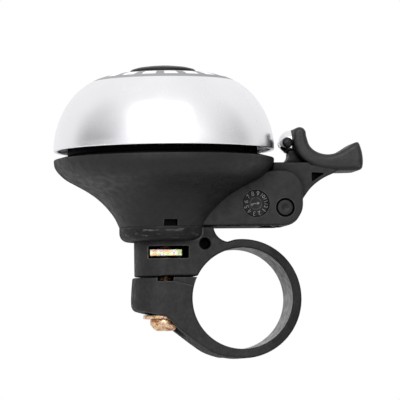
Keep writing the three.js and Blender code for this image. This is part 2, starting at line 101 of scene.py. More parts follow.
# Sizes that no box gives
BORE_R = 12.1
STRAP_DROP = 0.1  # the strap's outside is centred this far below its bore
SPLIT_Z = 5.35
SPLIT_GAP = 0.3
STRAP_TURN = 30  # half the angle of the strap that bends as the clamp opens, in degrees
COLLAR_R = 11
COLLAR_BOTTOM = 13.9
COLLAR_TOP = 17.3
SPIGOT_R = 8.4
FLOOR_TOP = 21.3
LIP_Z = 33.8
LIP_RISE = 0.9  # the lip slopes up from the rim to the foot of the standing wall
RING_R = 23.2
RING_WALL = 1.6
RING_TOP = 37.6
RING_GAP = (-42, 5)  # degrees from +X between which the standing wall is left out
POST_R = 4.6
CHEEK_OUT = 7.5
CHEEK_IN = 5.4
CHEEK_TOP = 30.65
POCKET_X = 5.5
SCREW_R = 2.45
SCREW_ROOM = 0.35  # round the screw in the jaw's hole, which is long in X
SCREW_HOLE_HALF = 3.3
SCREW_PITCH = 0.8
THREAD_DEPTH = 0.38
PIN_R = 1.4
PIN_ROOM = 0.15
HUB_HALF = 5.2
HUB_R = 4.3
SPRING_ROOM_R = 3.6  # the hollow in the hub for the spring
SPRING_ROOM_HALF = 2.3
STEM_HALF = 2.4
SHELF_Z = 32.75
DOME_WALL = 0.9
DOME_SEAT_Z = 52.6
DIAL = Vector((3.5, 22.7))
DIAL_R = 3.3
DIAL_DEEP = 0.45
BAND_INNER = 9.2  # the printed band round the dome's crown, and the dashes in it
BAND_OUTER = 17.5
DASH_INNER = 12.6
DASH_OUTER = 15.6
DASHES = 18
BOWL_TOP = (RING_R - RING_WALL, 29.8)
BOWL = [BOWL_TOP, (17.5, 27.3), (14.4, 24.6), (11, FLOOR_TOP)]  # its inside, as (radius, height)
AO_SAMPLES = 8


# ---------- outlines and profiles


def arc(x, z, r, start, end, steps=16):
    """Points on a circle from one angle to another, in degrees."""
    angles = [math.radians(start + (end - start) * i / steps) for i in range(steps + 1)]
    return [(x + r * math.cos(a), z + r * math.sin(a)) for a in angles]


def smooth(points, steps=6):
    """A curve through the points, with that many steps from each point to the next."""
    ends = [points[0], *points, points[-1]]
    curve = []
    for i in range(len(points) - 1):
        a, b, c, d = [Vector(p) for p in ends[i:i + 4]]
        for k in range(steps):
            t = k / steps
            bend = (a * 2 - b * 5 + c * 4 - d) * t ** 2 + (d - a + (b - c) * 3) * t ** 3
            curve.append(tuple((b * 2 + (c - a) * t + bend) / 2))
    curve.append(tuple(points[-1]))
    return curve


def rounded(corners, steps=5):
    """A closed outline, in which a corner with a third number is rounded to that radius."""
    outline = []
    for i, corner in enumerate(corners):
        here = Vector(corner[:2])
        if len(corner) < 3:
            outline.append(tuple(here))
            continue
        radius = corner[2]
        back = (Vector(corners[i - 1][:2]) - here).normalized()
        on = (Vector(corners[(i + 1) % len(corners)][:2]) - here).normalized()
        half = back.angle(on) / 2
        middle = here + (back + on).normalized() * (radius / math.sin(half))
        first = here + back * (radius / math.tan(half)) - middle
        last = here + on * (radius / math.tan(half)) - middle
        start = math.degrees(math.atan2(first.y, first.x))
        turn = math.degrees(math.atan2(last.y, last.x)) - start
        turn = (turn + 180) % 360 - 180
        outline += arc(*middle, radius, start, start + turn, steps)
    return outline


def box_outline(x0, x1, z0, z1):
    return [(x0, z0), (x1, z0), (x1, z1), (x0, z1)]


def inset(outline, depth):
    """The outline moved inwards by a depth."""
    points = [Vector(p) for p in outline]
    count = len(points)
    area = sum(points[i - 1].cross(points[i]) for i in range(count))
    side = math.copysign(depth, area)
    moved = []
    for i, point in enumerate(points):
        before = (point - points[i - 1]).normalized()
        after = (points[(i + 1) % count] - point).normalized()
        normal = Vector((-before.y - after.y, before.x + after.x))
        moved.append(point + normal * (side / (1 + before.dot(after))))
    return moved


def soft_rings(outline, y0, y1, edge, steps=8):
    """Rings of a solid along Y with a wide rounded edge, narrower round tight bends."""
    points = [Vector(p) for p in outline]
    count = len(points)
    normals = [(moved - point) / 0.01 for moved, point in zip(inset(outline, 0.01), points)]
    reach = []
    for i, point in enumerate(points):
        before, after = points[i - 3], points[(i + 3) % count]
        bulge = normals[i].dot((before + after) / 2 - point)
        bend = (after - before).length ** 2 / (8 * bulge) if bulge > 1e-6 else 1e3
        reach.append(min(edge, 0.75 * bend))
    reach = [min(reach[(i + k) % count] for k in range(-4, 5)) for i in range(count)]
    for _ in range(8):
        reach = [(reach[i - 1] + reach[i] + reach[(i + 1) % count]) / 3 for i in range(count)]
    rings = []
    for y, depth in layers(y0, y1, edge, steps):
        share = depth / edge
        rings.append([(p.x + n.x * r * share, y, p.y + n.y * r * share)
                      for p, n, r in zip(points, normals, reach)])
    return rings


# ---------- meshes


def add(name, data):
    """A new object in the scene, with a mesh, curve, lamp or camera."""
    made = bpy.data.objects.new(name, data)
    bpy.context.scene.collection.objects.link(made)
    return made


def add_object(name, maker):
    bmesh.ops.recalc_face_normals(maker, faces=maker.faces)
    mesh = bpy.data.meshes.new(name)
    maker.to_mesh(mesh)
    maker.free()
    return add(name, mesh)


def skin(name, rings, closed=True):
    """A mesh through rings of points; a ring of one point is a tip, and closed ends get a face."""
    maker = bmesh.new()
    rows = [[maker.verts.new(Vector(p) * MM) for p in ring] for ring in rings]
    pairs = list(zip(rows, rows[1:]))
    if not closed:
        pairs.append((rows[-1], rows[0]))
    for low, high in pairs:
        count = max(len(low), len(high))
        for i in range(count):
            j = (i + 1) % count
            if len(low) == 1:
                maker.faces.new((low[0], high[i], high[j]))
            elif len(high) == 1:
                maker.faces.new((low[i], low[j], high[0]))
            else:
                maker.faces.new((low[i], low[j], high[j], high[i]))
    if closed:
        for end in (rows[0], rows[-1]):
            if len(end) > 2:
                maker.faces.new(end)
    return add_object(name, maker)


def layers(low, high, edge, steps=4):
    """Heights and insets of the layers of a solid whose two edges are rounded."""
    if not edge:
        return [(low, 0), (high, 0)]
    turns = [math.radians(90 * i / steps) for i in range(steps + 1)]
    curve = [(edge * (1 - math.cos(a)), edge * (1 - math.sin(a))) for a in turns]
    lower = [(low + rise, depth) for rise, depth in curve]
    upper = [(high - rise, depth) for rise, depth in reversed(curve)]
    return lower + upper


def prism(name, outline, y0, y1, edge=0.0):
    """An X-Z outline made solid along Y."""
    return skin(name, [[(x, y, z) for x, z in inset(outline, d)] for y, d in layers(y0, y1, edge)])


def slab(name, outline, z0, z1, edge=0.0):
    """An X-Y outline made solid along Z."""
    return skin(name, [[(x, y, z) for x, y in inset(outline, d)] for z, d in layers(z0, z1, edge)])


def block(name, x0, x1, y0, y1, z0, z1, edge=0.0):
    return prism(name, rounded([(*p, edge) if edge else p for p in box_outline(x0, x1, z0, z1)]),
                 y0, y1, edge)


def upright(x):
    return Matrix.Translation((x * MM, 0, 0))


def across(x, z):
    """Lays an upright piece along +Y at a place in the X-Z plane."""
    return Matrix.Translation((x * MM, 0, z * MM)) @ Matrix.Rotation(-math.pi / 2, 4, "X")


def leftwards(x, z):
    """Lays an upright piece along -X, with its foot at a place in the X-Z plane."""
    return Matrix.Translation((x * MM, 0, z * MM)) @ Matrix.Rotation(-math.pi / 2, 4, "Y")


ON_BELL = upright(BELL_X)
ON_SCREW = upright(SCREW_X)
ON_PIN = across(PIN_X, PIN_Z)


def lathe(name, profile, place, segments=96, closed=True):
    """Turns a profile of (radius, height) points; closed=False is a ring off the axis."""
    rings = []
    for r, h in profile:
        turns = [2 * math.pi * i / segments for i in range(segments)]
        if r < 1e-6:
            rings.append([(0, 0, h)])
        else:
            rings.append([(r * math.cos(a), r * math.sin(a), h) for a in turns])
    made = skin(name, rings, closed)
    made.data.transform(place)
    return made


def rod(r, z0, z1, place, segments=64):
    return lathe("rod", [(0, z0), (r, z0), (r, z1), (0, z1)], place, segments)


def washer(name, inner, outer, z0, z1, x, edge=0.12):
    """A flat ring with rounded edges."""
    corners = [(*p, edge) for p in box_outline(inner, outer, z0, z1)]
    return lathe(name, rounded(corners, 3), upright(x), 64, closed=False)


def final_mesh(made):
    """A mesh of the object as it shows, with its modifiers."""
    evaluated = made.evaluated_get(bpy.context.evaluated_depsgraph_get())
    return bpy.data.meshes.new_from_object(evaluated)


def mesh_of_curve(curve):
    made = add("curve", curve)
    bpy.context.view_layer.update()
    mesh = final_mesh(made)
    bpy.data.objects.remove(made)
    return mesh


def settle(made):
    """Applies the piece's modifiers."""
    mesh = final_mesh(made)
    made.modifiers.clear()
    made.data = mesh
    return made


def combine(operation, made, *others):
    """Joins other solids to the piece, cuts them from it, or keeps what they share."""
    for other in others:
        step = made.modifiers.new(operation, "BOOLEAN")
        step.operation = operation
        step.object = other
        step.solver = "MANIFOLD"
    settle(made)
    for other in others:
        bpy.data.objects.remove(other)
    return made


def join(made, *others):
    return combine("UNION", made, *others)


def cut(made, *others):
    return combine("DIFFERENCE", made, *others)


def keep(made, *others):
    return combine("INTERSECT", made, *others)


def twin(made):
    return add("twin", made.data.copy())


# ---------- materials


def add_node(tree, kind, settings=None, **sockets):
    """A shader node; a socket is given by name, or by number as in _0, a value or a link."""
    made = tree.nodes.new("ShaderNode" + kind)
    for key, value in (settings or {}).items():
        setattr(made, key, value)
    for key, value in sockets.items():
        socket = made.inputs[int(key[1:])] if key[1:].isdigit() else made.inputs[key]
        if isinstance(value, bpy.types.NodeSocket):
            tree.links.new(value, socket)
        else:
            socket.default_value = value
    return made


def set_stops(ramp, stops):
    """Sets a colour ramp; stops are (place, (red, green, blue))."""
    while len(ramp.elements) < len(stops):
        ramp.elements.new(0.5)
    for element, (place, colour) in zip(ramp.elements, stops):
        element.position = place
        element.color = (*colour, 1)


class Paint:
    """A Principled material whose colour, roughness and bump come from nodes."""

    def __init__(self, name, metallic=0.0, specular=0.5):
        self.material = bpy.data.materials.new(name)
        self.material.use_nodes = True
        self.tree = self.material.node_tree
        self.shader = self.tree.nodes["Principled BSDF"]
        self.shader.inputs["Metallic"].default_value = metallic
        self.shader.inputs["Specular IOR Level"].default_value = specular
        self.place = self.tree.nodes.new("ShaderNodeTexCoord").outputs["Object"]

    def node(self, kind, settings=None, **sockets):
        return add_node(self.tree, kind, settings, **sockets)

    def noise(self, size_mm, detail=3.0, stretch=(1, 1, 1)):
        """Noise with features about size_mm across, longer along an axis of less stretch."""
        mapped = self.node("Mapping", Vector=self.place, Scale=stretch).outputs[0]
        scale = 1 / (size_mm * MM)
        return self.node("TexNoise", Vector=mapped, Scale=scale, Detail=detail).outputs[0]

    def spread(self, value, low, high, start=0.3, end=0.7):
        """Maps a value from start-end to low-high."""
        return self.node("MapRange", _0=value, _1=start, _2=end, _3=low, _4=high).outputs[0]

    def ramp(self, value, stops):
        """A colour for each place on a scale."""
        made = self.node("ValToRGB", _0=value)
        set_stops(made.color_ramp, stops)
        return made.outputs[0]

    def mix(self, share, first, second):
        first, second = [tone if isinstance(tone, bpy.types.NodeSocket) else (*tone, 1)
                         for tone in (first, second)]
        return self.node("Mix", {"data_type": "RGBA"}, _0=share, _6=first, _7=second).outputs[2]

    def maths(self, operation, first, second=0.0):
        return self.node("Math", {"operation": operation}, _0=first, _1=second).outputs[0]

    def times(self, first, second):
        return self.maths("MULTIPLY", first, second)

    def length(self, first, second):
        squares = self.maths("ADD", self.times(first, first), self.times(second, second))
        return self.maths("SQRT", squares)

    def within(self, value, low, high, soft):
        """1 where the value is between low and high, and 0 outside, with soft ends."""
        rise = self.spread(value, 0, 1, low - soft, low + soft)
        fall = self.spread(value, 1, 0, high - soft, high + soft)
        return self.times(rise, fall)

    def edges(self, reach_mm=0.3):
        """1 on sharp outer edges, where a moulding gets rubbed wear and a painted highlight."""
        settings = {"samples": AO_SAMPLES, "inside": True}
        deep = self.node("AmbientOcclusion", settings, Distance=reach_mm * MM).outputs["AO"]
        return self.spread(deep, 1, 0, 0.6, 0.9)

    def openness(self, reach_mm, low, high):
        """1 on open surfaces, falling to 0 in gaps and corners."""
        settings = {"samples": AO_SAMPLES}
        clear = self.node("AmbientOcclusion", settings, Distance=reach_mm * MM).outputs["AO"]
        return self.spread(clear, 0, 1, low, high)

    def axes(self):
        """X, Y and Z in metres."""
        return self.node("SeparateXYZ", Vector=self.place).outputs

    def radius(self):
        """Distance from the bell's axis in metres."""
        x, y, _ = self.axes()
        return self.length(self.maths("SUBTRACT", x, BELL_X * MM), y)

    def bump(self, height, depth_mm, strength=1.0, under=None):
        made = self.node("Bump", Height=height, Strength=strength, Distance=depth_mm * MM)
        if under:
            self.tree.links.new(under, made.inputs["Normal"])
        return made.outputs[0]

    def finish(self, colour, roughness, normal):
        for key, value in (("Base Color", colour), ("Roughness", roughness), ("Normal", normal)):
            self.tree.links.new(value, self.shader.inputs[key])
        return self.material


def plastic(name, dark, light, rough, grain_mm=0.3, grain_depth=0.012, specular=0.3, scuffed=None,
            bore=None, shade=None, hub=None):
    """Satin moulded plastic, grained, a little uneven in tone, edges rubbed and painted as highlit.

    scuffed is the span of Z with pale streaks. bore is the radius about the bar inside which it
    is smoother, and whose strap gets no rubbing or painted edge highlight. shade is the height
    above which the colour is painted dark as shade. hub is half the width of the part under the
    pad, which is painted darker as shade and is less glossy. Gaps and corners are painted dark as
    shade.
    """
    paint = Paint(name)
    mottle = paint.maths("ADD", paint.noise(9, 2), paint.noise(0.9, 4))
    tone = paint.spread(mottle, 0, 1, 0.8, 1.2)
    colour = paint.mix(tone, dark, light)
    # painted highlight: sharp edges get a pale colour, which also stands for their rubbed wear
    rubbed_and_highlit = paint.times(paint.edges(), paint.spread(paint.noise(1.1, 4), 0.15, 0.9))
    if bore:
        beside = paint.spread(paint.axes()[0], 1, 0, 0.5 * bore * MM, 0.6 * bore * MM)
        rubbed_and_highlit = paint.times(rubbed_and_highlit, beside)
    colour = paint.mix(rubbed_and_highlit, colour, tuple(7 * c for c in light))
    roughness = paint.spread(paint.noise(1.6, 4), rough - 0.11, rough + 0.11)
    facing = paint.node("LayerWeight", Blend=0.5).outputs["Facing"]
    gloss = paint.spread(facing, specular, 0.1 * specular, 0.66, 0.9)
    if scuffed:
        low, high = scuffed
        band = paint.within(paint.axes()[2], low * MM, high * MM, 0.3 * MM)
        streak = paint.spread(paint.noise(1.7, 5, (0.35, 1, 2.6)), 0, 0.7, 0.58, 0.72)
        colour = paint.mix(paint.times(band, streak), colour, (0.11, 0.11, 0.115))
        gloss = paint.times(gloss, paint.spread(band, 1, 0.62, 0, 1))
    if bore:
        x, _, z = paint.axes()
        inside = paint.spread(paint.length(x, z), 1, 0, (bore + 0.1) * MM, (bore + 0.25) * MM)
        normal = paint.node("NewGeometry").outputs["Normal"]
        upward = paint.node("SeparateXYZ", Vector=normal).outputs[2]
        roughness = paint.maths("SUBTRACT", roughness, paint.times(inside, 0.18))
        gloss = paint.times(gloss, paint.spread(beside, 0.62, 1, 0, 1))
        lit = paint.times(inside, paint.spread(upward, 0.03, 0.75, -0.6, 0.9))
        gloss = paint.maths("ADD", gloss, lit)
    # painted shade: above this height, inside the bell, the colour is painted near black
    if shade:
        deep = paint.spread(paint.axes()[2], 0, 1, (shade - 0.3) * MM, (shade + 0.1) * MM)
        colour = paint.mix(deep, colour, (0.001, 0.001, 0.001))
        gloss = paint.times(gloss, paint.maths("SUBTRACT", 1.0, paint.times(deep, 0.85)))
    # painted shade: the hub and stem under the pad are painted darker
    if hub:
        _, y, z = paint.axes()
        away = paint.maths("ABSOLUTE", y)
        narrow = paint.spread(away, 1, 0, (hub + 0.1) * MM, (hub + 0.6) * MM)
        low = paint.spread(z, 1, 0, (SHELF_Z + 0.2) * MM, (SHELF_Z + 0.8) * MM)
        under = paint.times(narrow, low)
        colour = paint.mix(under, colour, tuple(0.6 * c for c in dark))
        gloss = paint.times(gloss, paint.spread(under, 1, 0.8, 0, 1))
    # painted shade: gaps and corners are painted near black
    clear = paint.openness(4.5, 0.3, 0.93)
    colour = paint.mix(clear, (0.0012, 0.0012, 0.0013), colour)
    gloss = paint.times(gloss, paint.spread(clear, 0.15, 1, 0, 1))
    paint.tree.links.new(gloss, paint.shader.inputs["Specular IOR Level"])
    grain = paint.bump(paint.noise(grain_mm, 2), grain_depth, 0.7)
    ripple = paint.bump(paint.noise(1.4, 3), 0.09, 0.6, grain)
    flow = paint.bump(paint.noise(6, 1), 0.03, 0.35, ripple)
    return paint.finish(colour, roughness, flow)


def spun_chrome(name):
    """The dome's bright metal: fine turned lines, faint haze and a printed band round the crown."""
    paint = Paint(name)
    x, y, z = paint.axes()
    radius = paint.radius()
    turned = paint.node("CombineXYZ", X=radius, Z=z).outputs[0]
    lines = paint.node("TexNoise", Vector=turned, Scale=5200.0, Detail=2.0).outputs[0]
    haze = paint.noise(14, 3)
    colour = paint.mix(paint.spread(haze, 0, 1), (0.86, 0.862, 0.885), (0.93, 0.93, 0.945))
    band = paint.within(radius, BAND_INNER * MM, BAND_OUTER * MM, 0.12 * MM)
    off = paint.maths("SUBTRACT", x, BELL_X * MM)
    angle = paint.maths("ARCTAN2", y, off)
    beat = paint.maths("FRACT", paint.times(angle, DASHES / (2 * math.pi)))
    dash = paint.within(beat, 0.2, 0.8, 0.03)
    lane = paint.within(radius, DASH_INNER * MM, DASH_OUTER * MM, 0.08 * MM)
    printed = paint.mix(paint.times(dash, lane), (0.24, 0.24, 0.25), (0.9, 0.9, 0.9))
    colour = paint.mix(band, colour, printed)
    bare = paint.maths("SUBTRACT", 1.0, band)
    paint.tree.links.new(bare, paint.shader.inputs["Metallic"])
    smooth_part = paint.spread(paint.noise(4, 4), 0.23, 0.28)
    roughness = paint.maths("ADD", smooth_part, paint.times(band, 0.25))
    return paint.finish(colour, roughness, paint.bump(lines, 0.0012, 0.5))


def polished_chrome(name):
    paint = Paint(name, metallic=1.0)
    cloud = paint.spread(paint.noise(1.5, 3), 0, 1)
    colour = paint.mix(cloud, (0.82, 0.83, 0.85), (0.92, 0.92, 0.93))
    roughness = paint.spread(paint.noise(0.8, 4), 0.06, 0.12)
    return paint.finish(colour, roughness, paint.bump(paint.noise(0.5, 3), 0.003, 0.4))


FILM_PLACES = (0.36, 0.43, 0.48, 0.53, 0.58, 0.66)


def yellow_zinc(name, tones):
    """Passivated zinc, whose film shows in patches of six tones."""
    paint = Paint(name, metallic=1.0)
    colour = paint.ramp(paint.noise(1.5, 3, (1, 1, 1.6)), list(zip(FILM_PLACES, tones)))
    specks = paint.spread(paint.noise(0.55, 4), 0, 0.75, 0.52, 0.68)
    colour = paint.mix(specks, colour, (0.24, 0.13, 0.05))
    roughness = paint.spread(paint.noise(0.9, 4), 0.26, 0.45)
    return paint.finish(colour, roughness, paint.bump(paint.noise(0.35, 3), 0.03, 0.6))


def gloss_black(name, rough, specular):
    paint = Paint(name, specular=specular)
    cloud = paint.spread(paint.noise(3, 3), 0, 1)
    colour = paint.mix(cloud, (0.006, 0.006, 0.007), (0.014, 0.014, 0.015))
    roughness = paint.spread(paint.noise(1.2, 4), rough - 0.04, rough + 0.06)
    return paint.finish(colour, roughness, paint.bump(paint.noise(0.6, 2), 0.004, 0.4))


def plain_metal(name, dark, light, rough):
    """Plain turned or drawn metal with faint tool marks."""
    paint = Paint(name, metallic=1.0)
    marks = paint.noise(0.5, 4, (1, 1, 6))
    colour = paint.mix(paint.spread(marks, 0, 1), dark, light)
    roughness = paint.spread(paint.noise(1.1, 3), rough - 0.08, rough + 0.08)
    return paint.finish(colour, roughness, paint.bump(marks, 0.004, 0.5))


def rubber(name):
    paint = Paint(name, specular=0.3)
    cloud = paint.spread(paint.noise(1.5, 4), 0, 1)
    colour = paint.mix(cloud, (0.012, 0.012, 0.012), (0.028, 0.027, 0.026))
    roughness = paint.spread(paint.noise(0.8, 3), 0.7, 0.9)
    return paint.finish(colour, roughness, paint.bump(paint.noise(0.25, 3), 0.02, 0.7))


BASE_PLASTIC = plastic("base_plastic", (0.0045, 0.0045, 0.0048), (0.0078, 0.0077, 0.0078), 0.5,
                       specular=0.34, shade=LIP_Z + LIP_RISE)
CLAMP_PLASTIC = plastic("clamp_plastic", (0.0035, 0.0035, 0.0038), (0.0105, 0.0102, 0.0103), 0.52,
                        grain_mm=0.42, grain_depth=0.06, specular=0.33,
                        scuffed=(COLLAR_BOTTOM + 0.6, COLLAR_TOP - 0.3), bore=BORE_R)
LEVER_PLASTIC = plastic("lever_plastic", (0.007, 0.007, 0.0075), (0.012, 0.0118, 0.012), 0.4,
                        grain_mm=0.35, grain_depth=0.03, specular=0.42, hub=HUB_HALF)
DIAL_PLASTIC = plastic("dial_plastic", (0.0025, 0.0025, 0.0027), (0.004, 0.004, 0.0042), 0.5,
                       specular=0.15)
# painted highlight: the raised numbers, arrow and dot are a lighter copy of the dial's plastic, for
# the light they catch
LIT_NUMBER_PLASTIC = plastic("number_plastic_painted_highlight", (0.009, 0.009, 0.0095), (0.03, 0.029, 0.03), 0.4,
                         specular=0.35)
PIN_PLASTIC = plastic("pin_plastic", (0.005, 0.005, 0.0055), (0.009, 0.009, 0.0095), 0.42)
DOME_METAL = spun_chrome("dome_metal")
HAMMER_METAL = polished_chrome("hammer_metal")
NUT_ZINC = yellow_zinc("nut_zinc", [
    (0.84, 0.34, 0.42), (0.88, 0.54, 0.36), (0.90, 0.74, 0.30),
    (0.44, 0.64, 0.28), (0.80, 0.88, 0.86), (0.84, 0.38, 0.44),
])
SCREW_ZINC = yellow_zinc("screw_zinc", [
    (0.42, 0.19, 0.11), (0.70, 0.36, 0.22), (0.82, 0.52, 0.32),
    (0.84, 0.64, 0.32), (0.86, 0.76, 0.62), (0.52, 0.24, 0.17),
])
CAP_PLASTIC = gloss_black("cap_plastic", 0.36, 0.2)
RIVET_PLASTIC = gloss_black("rivet_plastic", 0.12, 0.22)
STEEL = plain_metal("steel", (0.42, 0.43, 0.44), (0.62, 0.63, 0.64), 0.36)
BRASS = plain_metal("brass", (0.55, 0.38, 0.14), (0.78, 0.60, 0.28), 0.32)
RUBBER = rubber("rubber")


def place(made, body, material, slot, *nodes, sharp=32):
    """Smooths the piece, paints it, and puts it on its body in place of its CAD nodes."""
    for face in made.data.polygons:
        face.use_smooth = True
    made.data.set_sharp_from_angle(angle=math.radians(sharp))
    made.data.materials.clear()
    made.data.materials.append(material)
    weighted = made.modifiers.new("weighted", "WEIGHTED_NORMAL")
    weighted.keep_sharp = True
    weighted.weight = 100
    if body:
        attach(made, body)
    if nodes:
        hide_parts(*nodes)
    return made


# ---------- clamp


def clamp_outline():
    """The whole clamp from the side: upper jaw, round the strap, lower jaw, with the split open."""
    upper_lip = SPLIT_Z + SPLIT_GAP / 2
    lower_lip = SPLIT_Z - SPLIT_GAP / 2
    upper = 180 - math.degrees(math.asin(upper_lip / BORE_R))
    lower = -180 - math.degrees(math.asin(lower_lip / BORE_R))
    far_left = BELL_X - CLAMP_HALF - 2
    belly = smooth([(-20.4, -3.75), (-18.7, -4.1), (-17, -5.5), (-15.7, -7), (-13.4, -8.8),
                    (-10.8, -10.8), (-7.9, -12.75), (-4.6, -13.95), (-2.84, -14.12)])
    left = rounded([(0, lower_lip), (-25.4, lower_lip), (-26.1, -0.6, 6), (-25.6, -2.75, 2.1),
                    (0, -5.2)])[1:-1]
    return [
        (far_left, COLLAR_TOP), (far_left, upper_lip),
        *arc(0, 0, BORE_R, upper, lower, 150),
        *left,
        *belly[:-1],
        *arc(0, -STRAP_DROP, STRAP_R - 0.002, -101.5, 97.4, 120),
        *arc(-2.9, 17.5, 3.95, -90, -177.1, 14)[1:],
    ]


def jaw_plan(left):
    """A clamp jaw from above: a half-round left end and straight sides."""
    right = STRAP_R + 3
    end = arc(left + CLAMP_HALF, 0, CLAMP_HALF, 90, 270, 48)
    return [*end, (right, -CLAMP_HALF), (right, CLAMP_HALF)]


def sector(name, outline):
    return prism(name, outline, -CLAMP_HALF - 2, CLAMP_HALF + 2)


def clamp_thirds():
    """The moulding cut into the upper jaw, the bending strap and the lower jaw."""
    whole = prism("clamp_body_visual", clamp_outline(), -CLAMP_HALF, CLAMP_HALF, 0.55)
    lower = twin(whole)
    strap = twin(whole)
    far = 40  # beyond the whole clamp
    rise = far * math.tan(math.radians(STRAP_TURN))
    edge_x = SPLIT_Z / math.tan(math.radians(STRAP_TURN))
    keep(whole, sector("upper", [(-far, SPLIT_Z), (edge_x, SPLIT_Z), (far, rise), (far, far),
                                 (-far, far)]))
    keep(strap, sector("side", [(0, 0), (far, -rise), (far, rise)]))
    keep(lower, sector("lower", [(-far, SPLIT_Z), (-far, -far), (far, -far), (far, -rise), (0, 0),
                                 (0, SPLIT_Z)]))
    strap.name = "clamp_strap_visual"
    lower.name = "clamp_jaw_visual"
    return whole, strap, lower


def build_upper_jaw(made):
    top = BASE_Z - 0.01
    collar = rounded([(0, COLLAR_BOTTOM), (COLLAR_R, COLLAR_BOTTOM, 2.1), (COLLAR_R, top, 0.2),
                      (SPIGOT_R, top), (SPIGOT_R, SPIGOT_TOP, 0.3), (0, SPIGOT_TOP)], 8)
    keep(made, slab("plan", jaw_plan(BELL_X - CLAMP_HALF), SPLIT_Z, COLLAR_TOP + 2, 0.5))
    join(
        made,
        lathe("collar", collar, ON_BELL, 128),
        block("key", BELL_X - 1.5, BELL_X + 1.5, -COLLAR_R + 2, -SPIGOT_R + 1, COLLAR_TOP - 1,
              COLLAR_TOP + 1.5),
    )
    cut(
        made,
        block("slot", -22.5, -12.9, -CLAMP_HALF - 2, 4.5, 9.7, 12.7, 0.3),
        rod(SCREW_R + 0.3, 0, SCREW_HIGH.z + 0.3, ON_SCREW),
        rod(1.35, COLLAR_TOP - 2.7, SPIGOT_TOP + 1, ON_BELL),
        lathe("hole", rounded([(0, -9), (1.6, -9), (1.6, -7.4), (1.35, -7.2), (1.35, -3.6, 0.4),
                               (0, -3.6)]), across(-9, 13.2), 48),
    )
    place(made, "bell_base", CLAMP_PLASTIC, "black_plastic", "clamp_body")


def build_strap(made):
    place(made, None, CLAMP_PLASTIC, "black_plastic")
    settle(made)
    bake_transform(made)


def build_lower_jaw(made):
    keep(made, slab("plan", jaw_plan(JAW_LOW.x), JAW_LOW.z - 2, SPLIT_Z - SPLIT_GAP / 2, 0.5))
    shift = SCREW_HOLE_HALF - SCREW_R - SCREW_ROOM
    hole_r = SCREW_R + SCREW_ROOM
    hole = [*arc(SCREW_X - shift, 0, hole_r, 90, 270, 24),
            *arc(SCREW_X + shift, 0, hole_r, -90, 90, 24)]
    crease = [(-16.8, 4.3), (-10.2, 2.7), (-10.2, 6), (-16.8, 6)]
    cut(
        made,
        slab("screw_hole", hole, -STRAP_R, SPLIT_Z + 1),
        lathe("seat", rounded([(0, -20), (WASHER_R + 0.4, -20),
                               (WASHER_R + 0.4, SEAT_Z + 0.05, 0.3), (0, SEAT_Z + 0.05)]),
              ON_SCREW),
        block("notch", -20.6, -16.6, -CLAMP_HALF - 2, 0, 4.2, 7, 0.25),
        prism("crease", crease, -CLAMP_HALF - 1, -CLAMP_HALF + 0.3),
    )
    place(made, "clamp_jaw", CLAMP_PLASTIC, "black_plastic", "clamp_jaw")


def build_clamp():
    upper, strap, lower = clamp_thirds()
    build_upper_jaw(upper)
    build_strap(strap)
    build_lower_jaw(lower)


# ---------- clamp screw, nut and washer


def threaded_rod(name, r, z0, z1, pitch, depth, place_at, segments=40, steps=6):
    """A rod with a helical thread, which fades out at both ends."""
    rings = [[(0, 0, z0)]]
    count = round((z1 - z0) / pitch * steps)
    for i in range(count + 1):
        z = z0 + (z1 - z0) * i / count
        fade = min(1, (z - z0) / pitch, (z1 - z) / pitch)
        ring = []
        for k in range(segments):
            turn = k / segments
            wave = abs(2 * ((z / pitch - turn) % 1) - 1)
            here = r - depth * (1 - fade * wave)
            angle = 2 * math.pi * turn
            ring.append((here * math.cos(angle), here * math.sin(angle), z))
        rings.append(ring)
    rings.append([(0, 0, z1)])
    made = skin(name, rings)
    made.data.transform(place_at)
    return made


def build_nut():
    made = block("clamp_nut_visual", NUT_LOW.x, NUT_HIGH.x, NUT_LOW.y, NUT_HIGH.y, NUT_LOW.z,
                 NUT_HIGH.z, 0.35)
    hole = [(0, 9), (3, 9), (3, 10.1), (2.55, 10.6), (2.55, 11.8), (3, 12.3), (3, 14), (0, 14)]
    cut(made, lathe("hole", hole, ON_SCREW))
    place(made, "bell_base", NUT_ZINC, "yellow_zinc", "clamp_nut")


def build_washer():
    made = washer("clamp_washer_visual", SCREW_R + 0.3, WASHER_R, WASHER_LOW.z, WASHER_HIGH.z,
                  SCREW_X, 0.2)
    place(made, "clamp_washer", SCREW_ZINC, "yellow_zinc", "clamp_washer")


def cross_recess(x, z, arm, half, deep):
    """A cross-shaped cutter, narrower towards its tip, for a screw head that faces down."""
    cutters = []
    for turn in (0, math.pi / 2):
        wide = [(-arm, -half), (arm, -half), (arm, half), (-arm, half)]
        tip = [(0.45 * a, 0.7 * b) for a, b in wide]
        arm_piece = skin("arm", [[(a, b, -1) for a, b in wide], [(a, b, 0.2) for a, b in wide],
                                 [(a, b, deep) for a, b in tip]])
        arm_piece.data.transform(Matrix.Rotation(turn, 4, "Z"))
        arm_piece.data.transform(Matrix.Translation((x * MM, 0, z * MM)))
        cutters.append(arm_piece)
    return join(*cutters)


def build_screw():
    top = WASHER_LOW.z - 0.05
    low = SCREW_LOW.z
    head = rounded([(0, low), (SCREW_HEAD_R * 0.62, low + 0.02, 1.5),
                    (SCREW_HEAD_R, low + 1.5, 1.2), (SCREW_HEAD_R, top, 0.3), (0, top)], 8)
    made = lathe("clamp_screw_visual", head, ON_SCREW, 64)
    join(made, threaded_rod("thread", SCREW_R, top - 0.5, SCREW_HIGH.z, SCREW_PITCH, THREAD_DEPTH,
                            ON_SCREW))
    cut(made, cross_recess(SCREW_X, low, 2.1, 0.5, 1.9))
    place(made, "clamp_screw", SCREW_ZINC, "yellow_zinc", "clamp_screw", sharp=40)


# ---------- base


